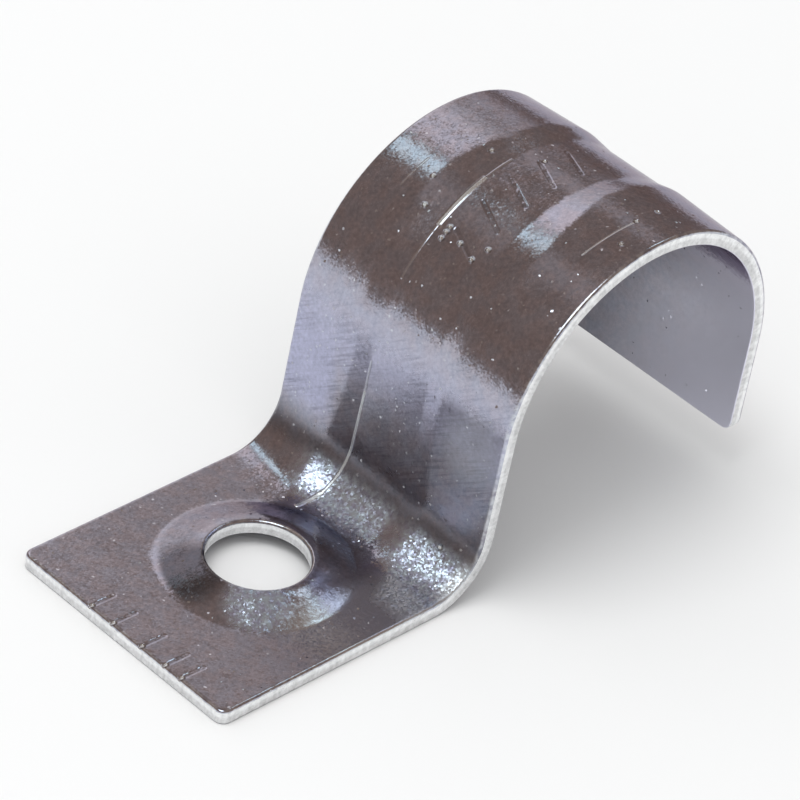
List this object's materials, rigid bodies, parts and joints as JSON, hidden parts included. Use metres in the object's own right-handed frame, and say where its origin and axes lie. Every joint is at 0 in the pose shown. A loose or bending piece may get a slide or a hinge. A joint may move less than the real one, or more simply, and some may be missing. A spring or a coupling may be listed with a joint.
{
  "type": "conduit strap",
  "caption": "Zinc-plated steel strap with one screw foot that holds a round conduit against a wall or a ceiling.",
  "frame": {"origin": "middle of the strap's length and width, on the mounting surface under the foot", "axes": "+X from the screw foot to the saddle and the far leg, +Y across the strap along the conduit, +Z away from the mounting surface"},
  "size_m": [0.046, 0.019, 0.0231],
  "materials": {
    "zinc_plated_steel": "bright zinc plate over rolled steel"
  },
  "bodies": {
    "root": {"conduit_strap": "zinc_plated_steel"}
  },
  "joints": []
}
